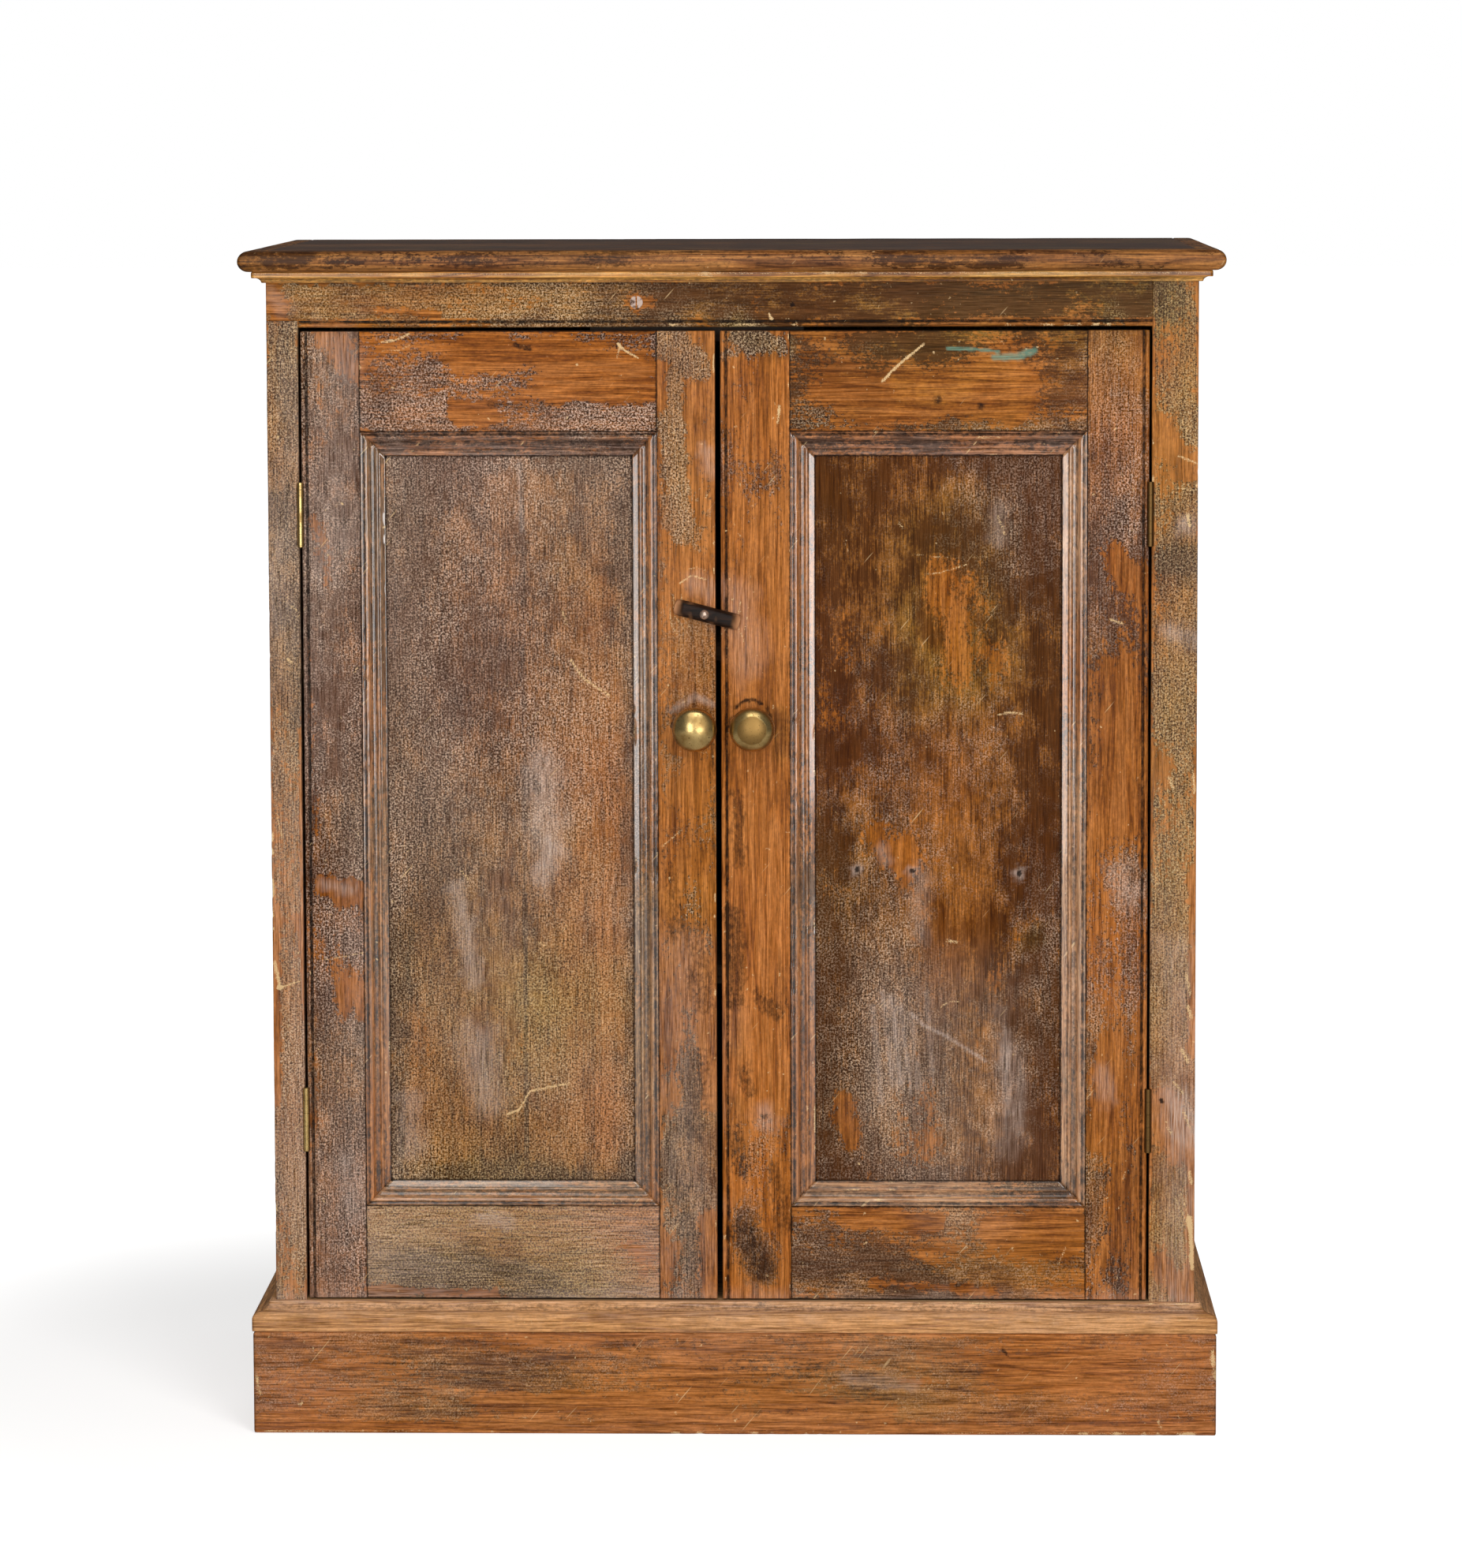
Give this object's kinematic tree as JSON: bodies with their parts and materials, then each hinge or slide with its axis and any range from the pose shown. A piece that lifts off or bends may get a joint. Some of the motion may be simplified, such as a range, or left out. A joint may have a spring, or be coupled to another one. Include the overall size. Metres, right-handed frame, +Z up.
{
  "type": "jelly cupboard",
  "caption": "Low pine cupboard with panelled doors on brass butt hinges, brass knobs, a wooden turn button, a bull-nosed top and a moulded plinth, for storing jars on shelves.",
  "frame": {"origin": "On the floor under the middle of the whole object's box", "axes": "+Z up, the doors face -Y, +X is the viewer's right"},
  "size_m": [0.9648, 0.497, 1.176],
  "materials": {
    "varnished_pine": "old pine under a crackled dark brown varnish, worn through to orange",
    "dark_varnished_pine": "dark varnished top with worn edges",
    "bare_pine": "unfinished pine darkened with age",
    "dark_hardwood": "dark hardwood, worn at the ends",
    "aged_brass": "cast and turned brass with a dull patina",
    "iron_screws": "old slotted wood screws"
  },
  "bodies": {
    "carcass": {"back_board_1": "bare_pine", "back_board_2": "bare_pine", "back_board_3": "bare_pine", "back_board_4": "bare_pine", "back_board_5": "bare_pine", "base_mould_front": "varnished_pine", "base_mould_left": "varnished_pine", "base_mould_right": "varnished_pine", "bed_mould_front": "varnished_pine", "bed_mould_left": "varnished_pine", "bed_mould_right": "varnished_pine", "door_stop_batten": "bare_pine", "floor_board": "bare_pine", "frame_hinge_leaves": "aged_brass", "frame_hinge_screws": "iron_screws", "frame_left_stile": "varnished_pine", "frame_lower_rail": "bare_pine", "frame_right_stile": "varnished_pine", "frame_top_rail": "varnished_pine", "hinge_pins": "aged_brass", "left_side": "varnished_pine", "plinth_front": "varnished_pine", "plinth_left": "varnished_pine", "plinth_right": "varnished_pine", "rail_screws": "iron_screws", "rear_top_rail": "bare_pine", "right_side": "varnished_pine", "shelf_bearers": "bare_pine", "shelf_lower": "bare_pine", "shelf_upper": "bare_pine", "top_board": "dark_varnished_pine", "top_edging_front": "dark_varnished_pine", "top_edging_left": "dark_varnished_pine", "top_edging_right": "dark_varnished_pine"},
    "left_door": {"left_door_bottom_rail": "varnished_pine", "left_door_hanging_stile": "varnished_pine", "left_door_hinge_leaves": "aged_brass", "left_door_hinge_screws": "iron_screws", "left_door_meeting_stile": "varnished_pine", "left_door_mould_bottom": "varnished_pine", "left_door_mould_left": "varnished_pine", "left_door_mould_right": "varnished_pine", "left_door_mould_top": "varnished_pine", "left_door_panel": "varnished_pine", "left_door_top_rail": "varnished_pine", "left_knob": "aged_brass", "turn_button_screw": "iron_screws"},
    "right_door": {"right_door_bottom_rail": "varnished_pine", "right_door_hanging_stile": "varnished_pine", "right_door_hinge_leaves": "aged_brass", "right_door_hinge_screws": "iron_screws", "right_door_meeting_stile": "varnished_pine", "right_door_mould_bottom": "varnished_pine", "right_door_mould_left": "varnished_pine", "right_door_mould_right": "varnished_pine", "right_door_mould_top": "varnished_pine", "right_door_panel": "varnished_pine", "right_door_top_rail": "varnished_pine", "right_knob": "aged_brass"},
    "turn_button": {"turn_button": "dark_hardwood"}
  },
  "joints": [
    {"name": "left_door_swing", "type": "hinge", "parent": "carcass", "child": "left_door", "pos_m": [-0.4252, -0.2025, 0.6147], "axis": [0, 0, -1], "range_deg": [0, 170]},
    {"name": "right_door_swing", "type": "hinge", "parent": "carcass", "child": "right_door", "pos_m": [0.4107, -0.2025, 0.6147], "axis": [0, 0, 1], "range_deg": [0, 170]},
    {"name": "turn_button_turn", "type": "hinge", "parent": "left_door", "child": "turn_button", "pos_m": [-0.0272, -0.2075, 0.8181], "axis": [0, 1, 0], "continuous": true}
  ]
}
